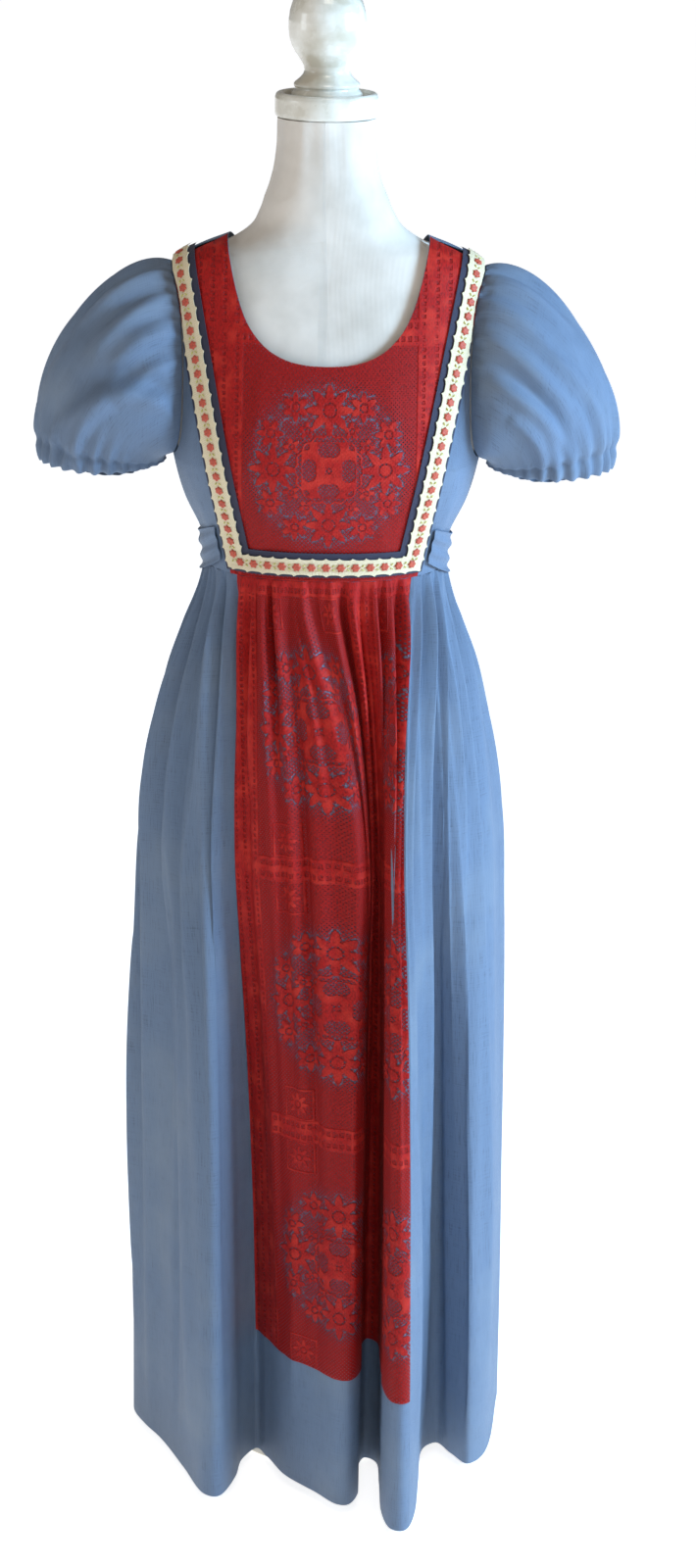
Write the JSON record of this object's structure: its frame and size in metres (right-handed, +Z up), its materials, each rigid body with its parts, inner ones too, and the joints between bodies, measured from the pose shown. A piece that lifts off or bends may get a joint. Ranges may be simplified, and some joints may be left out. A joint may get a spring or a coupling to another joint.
{
  "type": "maxi dress on dress form",
  "caption": "Empire-line maxi dress with a lace bib, puff sleeves, braid trim and gathered skirt, worn by a limbless dress form on a round base.",
  "frame": {"origin": "centre of the underside of the stand's base, on the floor", "axes": "+Z up, the front of the dress faces -Y, the wearer's left is towards +X"},
  "size_m": [0.5902, 0.4399, 1.587],
  "materials": {
    "blue_cloth": "woven, faintly lustrous",
    "red_lace": "cotton lace, matte",
    "navy_ribbon": "woven ribbon, matte",
    "cream_braid": "woven braid, matte",
    "white_jersey": "knitted jersey, matte",
    "white_gloss": "glossy",
    "white_metal": "satin paint"
  },
  "bodies": {
    "root": {"bib_ground": "blue_cloth", "bib_lace": "red_lace", "side_front_left": "blue_cloth", "side_front_right": "blue_cloth", "back_left": "blue_cloth", "back_right": "blue_cloth", "skirt_side_left": "blue_cloth", "skirt_front": "blue_cloth", "skirt_side_right": "blue_cloth", "skirt_back_right": "blue_cloth", "skirt_back_left": "blue_cloth", "skirt_lace": "red_lace", "trim_ribbon": "navy_ribbon", "trim_braid": "cream_braid", "sash_left": "blue_cloth", "sash_right": "blue_cloth", "sash_knot": "blue_cloth", "sash_tail_left": "blue_cloth", "sash_tail_right": "blue_cloth", "sleeve_left": "blue_cloth", "sleeve_right": "blue_cloth", "form_torso": "white_jersey", "neck_cap": "white_gloss", "finial": "white_gloss", "stand_pole": "white_metal", "stand_base": "white_metal"}
  },
  "joints": []
}
